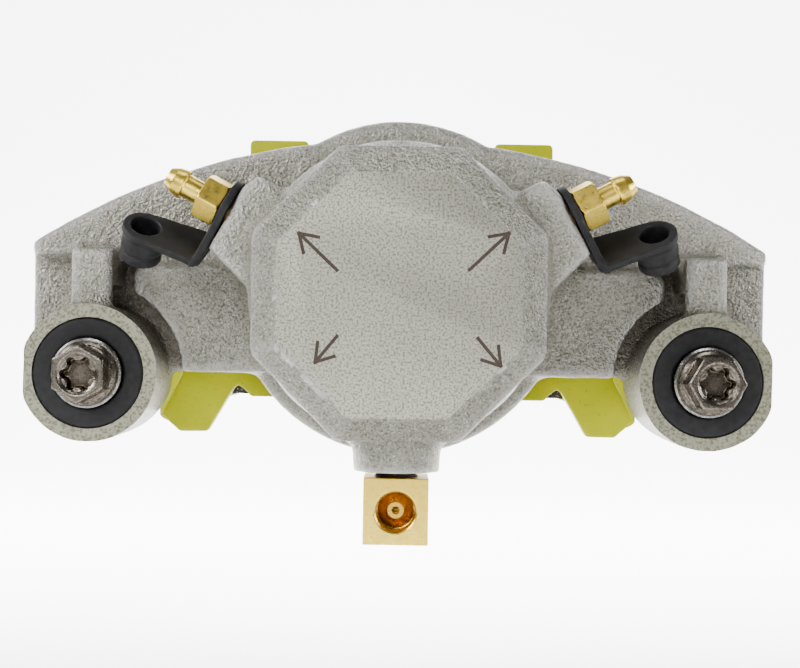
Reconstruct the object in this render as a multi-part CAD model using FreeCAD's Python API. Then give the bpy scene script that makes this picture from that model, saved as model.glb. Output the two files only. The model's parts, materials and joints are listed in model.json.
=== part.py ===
"""Single-piston sliding brake caliper, one STEP file for each piece. Units are millimetres.

The origin is midway between the two guide bolts on the face of the bracket they screw into.
+X runs from the left bolt to the right bolt, +Y points outboard through the rotor, +Z is up.
Most pieces are symmetric about X = 0: the left one is built and the right one is its mirror.
"""
import FreeCAD, Part
import math
import os
from FreeCAD import Vector

os.makedirs("parts", exist_ok=True)

# guide pins
BOLT_SPACING = 138.7
BOLT_X = BOLT_SPACING / 2
BOLT_SHANK_R = 5.05
BOLT_THREAD_R = 5.5
BOLT_TIP_Y = 16.0
BOLT_TIP_CHAMFER = 1.2
HEX_AF = 11.1
HEX_LENGTH = 7.0
HEX_EDGE = 0.4
LEFT_HEX_TURN = 30.0
FLANGE_R = 7.15
FLANGE_T = 2.5
FLANGE_EDGE = 0.8
SOCKET_CORE_R = 2.9
SOCKET_LOBE_R = 0.95
SOCKET_RIM_R = 4.5
SOCKET_RIM_DEPTH = 0.6
SOCKET_DEPTH = 4.0
SLEEVE_R = 7.8
SLEEVE_BORE_R = 5.6
SLEEVE_LENGTH = 30.0

# ears and their rubber bushings
EAR_R = 15.4
EAR_FLAT = 14.4
EAR_FRONT_Y = -28.0
EAR_REAR_Y = -2.0
BUSHING_R = 12.45
BUSHING_BORE_R = 7.9
BUSHING_LENGTH = 9.0
EAR_BORE_R = 12.5
EAR_WEB_R = 9.6
RELIEF_R = 20.3
RELIEF_FLOOR_Y = -9.0
RELIEF_INNER_X = 60.6
RELIEF_TOP_Z = 26.0
RIB_WIDTH = 9.2
RIB_FRONT_Y = -26.0
RIB_TOP_Z = 28.0
RIB_FOOT_Z = 5.0
EDGE_R = 1.5
BUSHING_GROOVES = 3
GROOVE_DEPTH = 0.7
GROOVE_WIDTH = 1.0

# the arch across the back of the piston barrel
ARCH_R = 156.2
ARCH_CENTRE_Z = -101.5
ARCH_HALF_WIDTH = 84.6
ARCH_FRONT_Y = -18.0
ARCH_REAR_Y = -3.0
ARCH_BOTTOM_Z = 0.4
ARCH_RIM_R = 1.8
SHOULDER_DEPTH = 2.6
SHOULDER_TOP_Z = 27.0
WEB_FRONT_Y = -22.0
WEB_TOP_Z = 25.0
WEB_INNER_X = 20.0
WEB_CORNER = (3.0, 2.0)

# piston barrel and its eight-sided face
PISTON_Z = 19.0
BORE_R = 28.6
BORE_FLOOR_Y = -37.0
BARREL_R = 38.5
BARREL_Z = 20.4
BARREL_FRONT_Y = -18.6
BARREL_REAR_Y = 3.0
BARREL_RIM_R = 3.0
BOSS_APOTHEM = 32.0
BOSS_Z = 18.4
BOSS_EDGE_Y = -40.2
FACE_APOTHEM = 26.4
FACE_Z = 18.0
FACE_Y = -43.0
BOSS_CORNER_R = 3.0
BOSS_ROOT_Y = -14.0
BOOT_SEAT_R = 33.0
BOOT_SEAT_Y = -3.0
SEAL_GROOVE_R = 31.8
SEAL_FRONT_Y = -10.0
SEAL_REAR_Y = -6.0
SEAL_GAP = 0.05

# piston
PISTON_R = 28.55
PISTON_FRONT_Y = -34.0
PISTON_REAR_Y = 4.0
PISTON_CUP_R = 20.5
PISTON_CUP_Y = -26.0
PISTON_EDGE = 1.0
PISTON_PATH_R = 29.5
PISTON_PATH_Y = 27.0
BOOT_GROOVE_R = 27.5
BOOT_GROOVE_Y = (1.3, 2.9)
BOOT_FOLD_R = 30.6
BOOT_BEAD_Y = -1.5
BOOT_LIP_Y = (1.4, 2.8)
BOOT_RING_BORE_R = 31.6
BOOT_RING_T = 1.5

# pads, rotor gap and bridge
PLATE_T = 5.0
LINING_T = 11.0
ROTOR_T = 23.0
ROTOR_R = 127.0
ROTOR_Z = -84.0
INNER_PLATE_Y = PISTON_REAR_Y
INNER_LINING_Y = INNER_PLATE_Y + PLATE_T
OUTER_LINING_Y = INNER_LINING_Y + LINING_T + ROTOR_T
OUTER_PLATE_Y = OUTER_LINING_Y + LINING_T
FINGER_Y = OUTER_PLATE_Y + PLATE_T
FINGER_T = 16.0
FINGER_BOTTOM_Z = -2.0
FINGER_SLOT_R = 15.0
FINGER_SLOT_Z = 22.0
FINGER_OUTLINE = ((-62, 34), (-52, 6), (-46, FINGER_BOTTOM_Z), (46, FINGER_BOTTOM_Z),
                  (52, 6), (62, 34), (40, 44), (0, 50), (-40, 44))
BRIDGE_UNDER_R = 130.0
BRIDGE_HALF_WIDTH = 66.0
BRIDGE_EDGE_R = 3.0
WINDOW_HALF_WIDTH = 18.0
WINDOW_Y = (16.0, 46.0)
WINDOW_CORNER_R = 5.0
TAB_X = (25.6, 41.8)
TAB_TOP_Z = 62.7
TAB_GAP = 0.8
TAB_CORNER_R = 1.2
INNER_PLATE_X = 55.0
INNER_PLATE_EDGE = ((-INNER_PLATE_X, 48), (-INNER_PLATE_X, 24), (-52.7, -0.7), (-57.6, -10.6),
                    (-53.1, -14.8), (-46.2, -14.7), (-39.9, -3.9), (-38.9, -3.2), (-36.8, -4.7),
                    (-35.9, -6.0))
OUTER_PLATE_X = 65.6
OUTER_PLATE_EDGE = ((-58, 43), (-OUTER_PLATE_X, 2), (-OUTER_PLATE_X, -13.8), (-63.5, -15.2),
                    (-58, -13.2), (-46.8, -8.3), (-41.8, -6.6), (-30, -5))
LINING_HALF_WIDTH = 50.0
LINING_BOTTOM_Z = -5.5
LINING_R = 124.0
LINING_EDGE = ((-LINING_HALF_WIDTH, 43), (-LINING_HALF_WIDTH, 6), (-LINING_HALF_WIDTH + 4, LINING_BOTTOM_Z))
DUST_SLOT = 3.0
CLIP_T = 1.0
CLIP_HUB_R = 9.0
CLIP_HOLE_R = 4.0
CLIP_REACH = 19.0
CLIP_WIDTH = 7.0
CLIP_LEG = 12.0

# bleed screws, their bosses and dust caps
BLEED_POINT = Vector(-37.3, -30.0, 36.5)
BLEED_DIRECTION = Vector(-0.883, 0.0, 0.468)
BLEED_BOSS_OUTLINE = ((-22, 39), (-24.4, 40.6), (-31.2, 43.9), (-34.8, 41.2), (-41.9, 27.8),
                      (-34, 20), (-22, 20))
BLEED_BOSS_FRONT_Y = -36.5
BLEED_BOSS_REAR_Y = -16.0
BLEED_HOLE_R = 4.0
BLEED_SHANK_R = 3.9
BLEED_HOLE_DEPTH = 9.2
BLEED_SEAT_DEPTH = 11.7
BLEED_PASSAGE_R = 1.5
BLEED_PASSAGE_DEPTH = 16.0
BLEED_CONE_GAP = 0.3
BLEED_CONE_LENGTH = 2.4
BLEED_HEX_AF = 9.5
BLEED_HEX_BASE = 2.4
BLEED_HEX_TOP = 7.8
BLEED_HEX_EDGE = 0.5
BARB_NECK_R = 2.6
BARB_BASE = 11.9
BARB_SHOULDER = 12.5
BARB_R = 3.3
BARB_TIP = 16.2
BARB_TIP_R = 2.0
BARB_MID = 14.4
BARB_MID_R = 2.95
BLEED_HEX_TURN = -18.0
BLEED_BORE_R = 1.0
BLEED_CROSS_R = 0.7
CAP_RING_BORE_R = 4.0
CAP_RING_R = 6.6
CAP_RING_BASE = 0.3
CAP_MOUTH = Vector(-56.4, -30.0, 32.9)
CAP_AXIS = Vector(0.25, -0.60, 0.76)
CAP_LENGTH = 8.6
CAP_BODY_R = 4.8
CAP_LIP_R = 5.2
CAP_WAIST_R = 4.2
CAP_FOOT_R = 4.7
CAP_FOOT_LENGTH = 1.9
CAP_WAIST_LENGTH = 0.3
CAP_SLOPE = 0.3
CAP_HOLE_R = 3.3
CAP_HOLE_DEPTH = 7.0
STRAP_T = 1.8
HANGER_WIDTH = 10.1
TONGUE_WIDTH = 12.6
TONGUE_DIRECTION = Vector(0.946, -0.02, -0.327)
STRAP_REACH = 22.0
STRAP_CORNER = 1.7

# brake-line inlet
INLET_Y = -30.2
INLET_BOSS_R = 9.5
INLET_BOSS_BOTTOM_Z = -20.4
INLET_BOSS_DRAFT = 0.8
STUD_R = 4.75
STUD_HOLE_R = 4.8
STUD_TOP_Z = -11.6
STUD_HOLE_TOP_Z = -11.2
INLET_PASSAGE_R = 1.3
BLOCK_SIZE = 14.3
BLOCK_TOP_Z = -21.65
BLOCK_BOTTOM_Z = -36.2
PORT_Z = -29.0
PORT_R = 4.2
PORT_CHAMFER = 0.5
PORT_DEPTH = 5.6
PORT_THREAD_END = 3.8
PORT_RELIEF_R = 4.45
SEAT_R = 3.9
SEAT_NOSE_R = 1.8
SEAT_NOSE = 1.6
SEAT_BACK = 1.0
SEAT_BORE_R = 0.9


def box(x_range, y_range, z_range):
    """A block between two corners."""
    size = [pair[1] - pair[0] for pair in (x_range, y_range, z_range)]
    return Part.makeBox(*size, Vector(x_range[0], y_range[0], z_range[0]))


def rod_y(radius, y0, y1, x=0.0, z=0.0):
    """A cylinder along Y."""
    return Part.makeCylinder(radius, y1 - y0, Vector(x, y0, z), Vector(0, 1, 0))


def tube_y(outer, inner, y0, y1, x=0.0, z=0.0):
    """A tube along Y."""
    return rod_y(outer, y0, y1, x, z).cut(rod_y(inner, y0 - 1, y1 + 1, x, z))


def loop(points):
    """A closed wire through the points."""
    return Part.makePolygon(points + points[:1])


def slab(outline, y0, y1):
    """An outline of (x, z) points pulled along Y."""
    face = Part.Face(loop([Vector(x, y0, z) for x, z in outline]))
    return face.extrude(Vector(0, y1 - y0, 0))


def turned(profile):
    """A solid of (radius, height) points turned about Z."""
    face = Part.Face(loop([Vector(radius, 0, height) for radius, height in profile]))
    return face.revolve(Vector(0, 0, 0), Vector(0, 0, 1), 360)


def regular(sides, apothem, centre_z=0.0, turn=0.0):
    """Corner points (x, z) of a regular outline with a flat side on top."""
    reach = apothem / math.cos(math.pi / sides)
    angles = [math.radians(turn) + math.pi * (2 * i + 1) / sides for i in range(sides)]
    return [(reach * math.sin(a), centre_z + reach * math.cos(a)) for a in angles]


def placed(shape, origin, direction):
    """A shape made about Z, moved so that its Z axis lies along the direction."""
    turn = FreeCAD.Rotation(Vector(0, 0, 1), direction)
    moved = shape.copy()
    moved.Placement = FreeCAD.Placement(origin, turn).multiply(shape.Placement)
    return moved


def mirrored(shape):
    """The same piece on the other side of X = 0."""
    return shape.mirror(Vector(0, 0, 0), Vector(1, 0, 0))


def both_sides(shape):
    """A shape joined to its mirror."""
    return shape.fuse(mirrored(shape))


def round_along_y(shape, radius, keep=lambda middle: True):
    """Rounds the straight edges along Y whose middles pass the test."""
    edges = []
    for edge in shape.Edges:
        start, end = edge.Vertexes[0].Point, edge.Vertexes[-1].Point
        span = end - start
        if span.Length > 0 and abs(span.y) > 0.999 * span.Length and keep((start + end) / 2):
            edges.append(edge)
    return shape.makeFillet(radius, edges)


def round_at_y(shape, radius, y):
    """Rounds the edges that lie in the plane at this Y."""
    edges = [e for e in shape.Edges if abs(e.BoundBox.YMin - y) < 0.01 and abs(e.BoundBox.YMax - y) < 0.01]
    return shape.makeFillet(radius, edges)


def arch():
    """The wide arched plate behind the barrel, with a stepped-back strip outboard of each rib."""
    disc = rod_y(ARCH_R, ARCH_FRONT_Y, ARCH_REAR_Y, 0, ARCH_CENTRE_Z)
    window = box((-ARCH_HALF_WIDTH, ARCH_HALF_WIDTH), (ARCH_FRONT_Y, ARCH_REAR_Y), (ARCH_BOTTOM_Z, ARCH_R))
    plate = round_at_y(disc.common(window), ARCH_RIM_R, ARCH_FRONT_Y)
    step_y = (ARCH_FRONT_Y - 1, ARCH_FRONT_Y + SHOULDER_DEPTH)
    step = box((BOLT_X + RIB_WIDTH / 2, ARCH_HALF_WIDTH + 1), step_y, (0, SHOULDER_TOP_Z))
    return plate.cut(both_sides(step))


def web():
    """The raised block between each ear's relief and the barrel."""
    run, drop = WEB_CORNER
    outline = [(-RELIEF_INNER_X, ARCH_BOTTOM_Z), (-RELIEF_INNER_X, WEB_TOP_Z - drop),
               (-RELIEF_INNER_X + run, WEB_TOP_Z), (-WEB_INNER_X, WEB_TOP_Z), (-WEB_INNER_X, ARCH_BOTTOM_Z)]
    block = slab(outline, WEB_FRONT_Y, ARCH_REAR_Y)
    return both_sides(round_at_y(block, ARCH_RIM_R, WEB_FRONT_Y))


def barrel():
    """The round barrel, seen as the hump on top of the arch."""
    drum = rod_y(BARREL_R, BARREL_FRONT_Y, BARREL_REAR_Y, 0, BARREL_Z)
    return round_at_y(drum, BARREL_RIM_R, BARREL_FRONT_Y)


def face_boss():
    """The eight-sided boss with a sloping shoulder up to its machined face."""
    outline = regular(8, BOSS_APOTHEM, BOSS_Z)
    block = round_along_y(slab(outline, FACE_Y, BOSS_ROOT_Y), BOSS_CORNER_R)
    edge = [Vector(x, BOSS_EDGE_Y, z) for x, z in outline]
    rim = [Vector(x, FACE_Y, z) for x, z in regular(8, FACE_APOTHEM, FACE_Z)]
    shoulder = Part.makeLoft([loop(edge), loop(rim)], True, True)
    return block.common(shoulder.fuse(slab(outline, BOSS_EDGE_Y, BOSS_ROOT_Y)))


def bleed_boss():
    """The lug that each bleed screw enters, square to the screw."""
    lug = slab(BLEED_BOSS_OUTLINE, BLEED_BOSS_FRONT_Y, BLEED_BOSS_REAR_Y)
    return round_at_y(lug, EDGE_R, BLEED_BOSS_FRONT_Y)


def ear():
    """The barrel around a guide pin and the rib that rises from it."""
    drum = rod_y(EAR_R, EAR_FRONT_Y, EAR_REAR_Y, -BOLT_X)
    inside = box((-BOLT_X - EAR_FLAT, 0), (EAR_FRONT_Y, EAR_REAR_Y), (-EAR_R, EAR_R))
    drum = drum.common(inside)
    rib_x = (-BOLT_X - RIB_WIDTH / 2, -BOLT_X + RIB_WIDTH / 2)
    rib = box(rib_x, (RIB_FRONT_Y, ARCH_REAR_Y), (RIB_FOOT_Z, RIB_TOP_Z))
    return drum.fuse(round_at_y(rib, EDGE_R, RIB_FRONT_Y))


def ear_relief():
    """The channel around the inner side of an ear and up beside its rib."""
    ring = tube_y(RELIEF_R, EAR_R, WEB_FRONT_Y - 1, RELIEF_FLOOR_Y, -BOLT_X)
    inner_side = box((-BOLT_X, 0), (WEB_FRONT_Y - 1, RELIEF_FLOOR_Y), (-RELIEF_R, RELIEF_R))
    rib_inner_x = BOLT_X - RIB_WIDTH / 2
    strip = box((-rib_inner_x, -RELIEF_INNER_X), (WEB_FRONT_Y - 1, RELIEF_FLOOR_Y), (10, RELIEF_TOP_Z))
    return ring.common(inner_side).fuse(strip)


def inlet_boss():
    """The short drafted boss under the barrel."""
    height = PISTON_Z - BORE_R - INLET_BOSS_BOTTOM_Z + 2
    foot = Vector(0, INLET_Y, INLET_BOSS_BOTTOM_Z)
    return Part.makeCone(INLET_BOSS_R, INLET_BOSS_R + INLET_BOSS_DRAFT, height, foot, Vector(0, 0, 1))


def bridge():
    """The curved bridge over the rotor, with its window and the outer pad's two slots."""
    length = (ARCH_REAR_Y - 2, FINGER_Y + FINGER_T)
    skin = rod_y(ARCH_R, *length, 0, ARCH_CENTRE_Z).cut(rod_y(BRIDGE_UNDER_R, *length, 0, ROTOR_Z))
    span = box((-BRIDGE_HALF_WIDTH, BRIDGE_HALF_WIDTH), length, (0, ARCH_R))
    shell = round_along_y(skin.common(span), BRIDGE_EDGE_R)
    window = box((-WINDOW_HALF_WIDTH, WINDOW_HALF_WIDTH), WINDOW_Y, (30, 70))
    corners = [e for e in window.Edges if abs(e.tangentAt(0).z) > 0.9]
    window = window.makeFillet(WINDOW_CORNER_R, corners)
    slot = box((TAB_X[0] - TAB_GAP, TAB_X[1] + TAB_GAP), (OUTER_PLATE_Y - TAB_GAP, FINGER_Y), (25, 70))
    return shell.cut(window).cut(both_sides(slot))


def fingers():
    """The two fingers that press the outer pad, with the boring slot between them."""
    leg = slab(FINGER_OUTLINE, FINGER_Y, FINGER_Y + FINGER_T)
    leg = leg.common(rod_y(ARCH_R - 0.5, FINGER_Y, FINGER_Y + FINGER_T, 0, ARCH_CENTRE_Z))
    slot = rod_y(FINGER_SLOT_R, FINGER_Y - 1, FINGER_Y + FINGER_T + 1, 0, FINGER_SLOT_Z)
    below = box((-FINGER_SLOT_R, FINGER_SLOT_R), (FINGER_Y - 1, FINGER_Y + FINGER_T + 1),
                (FINGER_BOTTOM_Z - 1, FINGER_SLOT_Z))
    return leg.cut(slot.fuse(below))


def ear_bores():
    """The stepped hole through an ear for its two bushings."""
    front = rod_y(EAR_BORE_R, EAR_FRONT_Y - 1, EAR_FRONT_Y + BUSHING_LENGTH, -BOLT_X)
    rear = rod_y(EAR_BORE_R, EAR_REAR_Y - BUSHING_LENGTH, EAR_REAR_Y + 1, -BOLT_X)
    middle = rod_y(EAR_WEB_R, EAR_FRONT_Y, EAR_REAR_Y, -BOLT_X)
    return front.fuse(rear).fuse(middle)


def piston_bore():
    """The bore with its seal groove and boot seat."""
    bore = rod_y(BORE_R, BORE_FLOOR_Y, BARREL_REAR_Y + 1, 0, PISTON_Z)
    groove = rod_y(SEAL_GROOVE_R, SEAL_FRONT_Y, SEAL_REAR_Y, 0, PISTON_Z)
    boot_seat = rod_y(BOOT_SEAT_R, BOOT_SEAT_Y, BARREL_REAR_Y + 1, 0, PISTON_Z)
    path = rod_y(PISTON_PATH_R, BARREL_REAR_Y, PISTON_PATH_Y, 0, PISTON_Z)
    return bore.fuse([groove, boot_seat, path])


def bleed_hole():
    """The tapped hole, its cone and the passage into the bore."""
    profile = [(0, 1), (BLEED_HOLE_R, 1), (BLEED_HOLE_R, -BLEED_HOLE_DEPTH),
               (BLEED_PASSAGE_R, -BLEED_SEAT_DEPTH), (BLEED_PASSAGE_R, -BLEED_PASSAGE_DEPTH),
               (0, -BLEED_PASSAGE_DEPTH)]
    return placed(turned(profile), BLEED_POINT, BLEED_DIRECTION)


def inlet_hole():
    """The tapped hole under the barrel and the passage up into the bore."""
    up = Vector(0, 0, 1)
    tapped_length = STUD_HOLE_TOP_Z - INLET_BOSS_BOTTOM_Z
    tapped = Part.makeCylinder(STUD_HOLE_R, tapped_length, Vector(0, INLET_Y, INLET_BOSS_BOTTOM_Z), up)
    passage = Part.makeCylinder(INLET_PASSAGE_R, 6, Vector(0, INLET_Y, STUD_HOLE_TOP_Z - 1), up)
    return tapped.fuse(passage)


def caliper_housing():
    """The whole casting."""
    body = arch().fuse([web(), barrel(), both_sides(ear()), inlet_boss(), bridge(), fingers()])
    body = body.cut(both_sides(ear_relief()))
    body = body.fuse([face_boss(), both_sides(bleed_boss())])
    for hole in (piston_bore(), both_sides(ear_bores()), both_sides(bleed_hole()), inlet_hole()):
        body = body.cut(hole)
    return body.removeSplitter()


def piston():
    """The cup that presses the inner pad, with the groove for the dust boot."""
    body = rod_y(PISTON_R, PISTON_FRONT_Y, PISTON_REAR_Y, 0, PISTON_Z)
    rims = [e for e in body.Edges if e.BoundBox.YLength < 0.01]
    body = body.makeChamfer(PISTON_EDGE, rims)
    cup = rod_y(PISTON_CUP_R, PISTON_CUP_Y, PISTON_REAR_Y + 1, 0, PISTON_Z)
    groove = tube_y(PISTON_R + 1, BOOT_GROOVE_R, *BOOT_GROOVE_Y, 0, PISTON_Z)
    return body.cut(cup).cut(groove)


def piston_seal():
    """The square-cut ring that seals the piston and pulls it back."""
    length = (SEAL_FRONT_Y + SEAL_GAP, SEAL_REAR_Y - SEAL_GAP)
    return tube_y(SEAL_GROOVE_R - SEAL_GAP, BORE_R, *length, 0, PISTON_Z)


def dust_boot():
    """The rubber boot: a bead in the housing, a thin fold and a lip in the piston's groove."""
    bead = tube_y(BOOT_SEAT_R - SEAL_GAP, BOOT_FOLD_R - 1, BOOT_SEAT_Y + SEAL_GAP, BOOT_BEAD_Y, 0, PISTON_Z)
    fold = tube_y(BOOT_FOLD_R, BOOT_FOLD_R - 1, BOOT_BEAD_Y, BOOT_LIP_Y[0], 0, PISTON_Z)
    lip = tube_y(BOOT_FOLD_R, BOOT_GROOVE_R + SEAL_GAP, *BOOT_LIP_Y, 0, PISTON_Z)
    return bead.fuse(fold).fuse(lip)


def boot_retaining_ring():
    """The steel ring that holds the boot's bead in the housing."""
    length = (BOOT_BEAD_Y, BOOT_BEAD_Y + BOOT_RING_T)
    return tube_y(BOOT_SEAT_R - SEAL_GAP, BOOT_RING_BORE_R, *length, 0, PISTON_Z)


def pad_outline(edge):
    """A whole outline from the (x, z) points of its left edge, read from the top down."""
    return list(edge) + [(-x, z) for x, z in reversed(edge)]


def under_bridge(blank, radius):
    """Trims a pad's top to an arc about the rotor's axis."""
    reach = rod_y(radius, blank.BoundBox.YMin - 1, blank.BoundBox.YMax + 1, 0, ROTOR_Z)
    return blank.common(reach)


def inner_pad_plate():
    """The backing plate whose two legs hang below the housing."""
    blank = slab(pad_outline(INNER_PLATE_EDGE), INNER_PLATE_Y, INNER_LINING_Y)
    return under_bridge(blank, ROTOR_R)


def pad_lining(y0):
    """The friction block, cut across the middle by a slot for dust."""
    block = under_bridge(slab(pad_outline(LINING_EDGE), y0, y0 + LINING_T), LINING_R)
    rotor_side = y0 + LINING_T if y0 < OUTER_LINING_Y else y0
    slot_y = (rotor_side - LINING_T / 2, rotor_side + LINING_T / 2)
    return block.cut(box((-DUST_SLOT / 2, DUST_SLOT / 2), slot_y, (-20, 60)))


def inner_pad_spring():
    """The three-legged clip that holds the inner pad in the piston's cup."""
    y1 = INNER_PLATE_Y
    clip = tube_y(CLIP_HUB_R, CLIP_HOLE_R, y1 - CLIP_T, y1)
    for turn in (90, 210, 330):
        arm = box((CLIP_HUB_R - 1, CLIP_REACH), (y1 - CLIP_T, y1), (-CLIP_WIDTH / 2, CLIP_WIDTH / 2))
        leg = box((CLIP_REACH - CLIP_T, CLIP_REACH), (y1 - CLIP_LEG, y1), (-CLIP_WIDTH / 2, CLIP_WIDTH / 2))
        spoke = arm.fuse(leg)
        spoke.rotate(Vector(0, 0, 0), Vector(0, 1, 0), turn)
        clip = clip.fuse(spoke)
    clip.translate(Vector(0, 0, PISTON_Z))
    return clip.removeSplitter()


def outer_pad_plate():
    """The wider backing plate, with two tabs that stand up through the bridge."""
    blank = under_bridge(slab(pad_outline(OUTER_PLATE_EDGE), OUTER_PLATE_Y, FINGER_Y), ROTOR_R)
    tab = box(TAB_X, (OUTER_PLATE_Y, FINGER_Y), (20, TAB_TOP_Z))
    return blank.fuse(both_sides(round_along_y(tab, TAB_CORNER_R))).removeSplitter()


def six_lobe_recess():
    """The star-shaped recess in a guide bolt's head, cut along Z from the top down."""
    star = Part.makeCylinder(SOCKET_CORE_R, SOCKET_DEPTH)
    for i in range(6):
        angle = math.radians(60 * i)
        centre = Vector(SOCKET_CORE_R * math.cos(angle), SOCKET_CORE_R * math.sin(angle), 0)
        star = star.fuse(Part.makeCylinder(SOCKET_LOBE_R, SOCKET_DEPTH, centre))
    return star.removeSplitter()


def guide_bolt(x, turn):
    """A flanged hex bolt whose shank runs through the sleeve into the bracket."""
    head_top = FLANGE_T + HEX_LENGTH
    tip = -(SLEEVE_LENGTH + BOLT_TIP_Y)
    shank = turned([(0, FLANGE_T), (FLANGE_R - FLANGE_EDGE, FLANGE_T), (FLANGE_R, FLANGE_T - FLANGE_EDGE),
                    (FLANGE_R, 0), (BOLT_SHANK_R, 0), (BOLT_SHANK_R, -SLEEVE_LENGTH),
                    (BOLT_THREAD_R, -SLEEVE_LENGTH), (BOLT_THREAD_R, tip + BOLT_TIP_CHAMFER),
                    (BOLT_THREAD_R - BOLT_TIP_CHAMFER, tip), (0, tip)])
    hexagon = Part.Face(loop([Vector(x, z, 0) for x, z in regular(6, HEX_AF / 2, 0, turn)]))
    head = hexagon.extrude(Vector(0, 0, head_top))
    corner_r = HEX_AF / math.sqrt(3)
    crown = turned([(0, 0), (corner_r + HEX_EDGE, 0), (corner_r + HEX_EDGE, head_top - HEX_EDGE),
                    (corner_r - HEX_EDGE, head_top), (0, head_top)])
    recess = six_lobe_recess()
    recess.translate(Vector(0, 0, head_top - SOCKET_DEPTH))
    floor_r = SOCKET_CORE_R + SOCKET_LOBE_R
    rim = Part.makeCone(floor_r, SOCKET_RIM_R, SOCKET_RIM_DEPTH, Vector(0, 0, head_top - SOCKET_RIM_DEPTH))
    bolt = shank.fuse(head.common(crown)).cut(recess).cut(rim)
    return placed(bolt, Vector(x, -SLEEVE_LENGTH, 0), Vector(0, -1, 0))


def guide_sleeve():
    """The steel sleeve the caliper slides on."""
    return tube_y(SLEEVE_R, SLEEVE_BORE_R, -SLEEVE_LENGTH, 0, -BOLT_X)


def bushing(y0):
    """A rubber bushing with evenly spaced grease grooves in its bore."""
    ring = tube_y(BUSHING_R, BUSHING_BORE_R, y0, y0 + BUSHING_LENGTH, -BOLT_X)
    for i in range(BUSHING_GROOVES):
        middle = y0 + BUSHING_LENGTH * (i + 1) / (BUSHING_GROOVES + 1)
        length = (middle - GROOVE_WIDTH / 2, middle + GROOVE_WIDTH / 2)
        ring = ring.cut(tube_y(BUSHING_BORE_R + GROOVE_DEPTH, BUSHING_BORE_R - 1, *length, -BOLT_X))
    return ring


def bleed_screw_hex():
    """The hex of a bleed screw, with its corners turned off at both ends."""
    outline = regular(6, BLEED_HEX_AF / 2, 0, BLEED_HEX_TURN)
    hexagon = Part.Face(loop([Vector(x, z, BLEED_HEX_BASE) for x, z in outline]))
    rim, edge = BLEED_HEX_AF / math.sqrt(3), BLEED_HEX_EDGE
    crown = turned([(0, BLEED_HEX_BASE), (rim - edge, BLEED_HEX_BASE), (rim, BLEED_HEX_BASE + edge),
                    (rim, BLEED_HEX_TOP - edge), (rim - edge, BLEED_HEX_TOP), (0, BLEED_HEX_TOP)])
    return hexagon.extrude(Vector(0, 0, BLEED_HEX_TOP - BLEED_HEX_BASE)).common(crown)


def bleed_screw():
    """A brass bleed screw: cone, thread, hex and hose barb with a hole down its axis."""
    cone_base = -BLEED_HOLE_DEPTH + BLEED_CONE_GAP
    cone_tip = cone_base - BLEED_CONE_LENGTH
    neck_base = BLEED_HEX_BASE + 1
    profile = [(0, BARB_TIP), (BARB_TIP_R, BARB_TIP), (BARB_MID_R, BARB_MID), (BARB_R, BARB_SHOULDER),
               (BARB_R, BARB_BASE), (BARB_NECK_R, BARB_BASE), (BARB_NECK_R, neck_base),
               (BLEED_SHANK_R, neck_base), (BLEED_SHANK_R, cone_base), (BLEED_BORE_R, cone_tip),
               (0, cone_tip)]
    bore = Part.makeCylinder(BLEED_BORE_R, BARB_TIP - cone_base, Vector(0, 0, cone_base + 1))
    cross_start = Vector(-2 * BLEED_SHANK_R, 0, cone_base + 1.5)
    cross = Part.makeCylinder(BLEED_CROSS_R, 4 * BLEED_SHANK_R, cross_start, Vector(1, 0, 0))
    screw = turned(profile).fuse(bleed_screw_hex()).cut(bore).cut(cross)
    return placed(screw, BLEED_POINT, BLEED_DIRECTION)


def beyond(point, direction):
    """A large block that fills the space ahead of a plane."""
    side = 4 * BOLT_X
    return placed(Part.makeBox(side, side, side, Vector(-side / 2, -side / 2, 0)), point, direction)


def strip(start, run, across, rise, start_width, end_width):
    """A flat piece of strap from a point, along one direction, with its thickness along another."""
    near, far = across * (start_width / 2), across * (end_width / 2)
    face = Part.Face(loop([start - near, start + near, start + run + far, start + run - far]))
    return face.extrude(rise * STRAP_T)


def strap(ring_base, out, axis):
    """The hanger that drops from the ring and the tongue that runs from its foot to the cap."""
    down = Vector(-out.z, 0, out.x)
    along = (TONGUE_DIRECTION - axis * TONGUE_DIRECTION.dot(axis)).normalize()
    across = along.cross(axis)
    foot_distance = (ring_base - CAP_MOUTH).dot(out) / along.dot(out)
    tongue = strip(CAP_MOUTH, along * foot_distance, across, axis * -1, 2 * CAP_LIP_R, TONGUE_WIDTH)
    hanger = strip(ring_base, down * STRAP_REACH, Vector(0, 1, 0), out, HANGER_WIDTH, HANGER_WIDTH)
    hanger = hanger.common(beyond(CAP_MOUTH - axis * STRAP_T, axis))
    foot = CAP_MOUTH + along * foot_distance
    corner = foot + across * (TONGUE_WIDTH / 2 - STRAP_CORNER)
    tongue = tongue.common(beyond(ring_base, out))
    return hanger.fuse(tongue).cut(beyond(corner, across + along))


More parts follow.
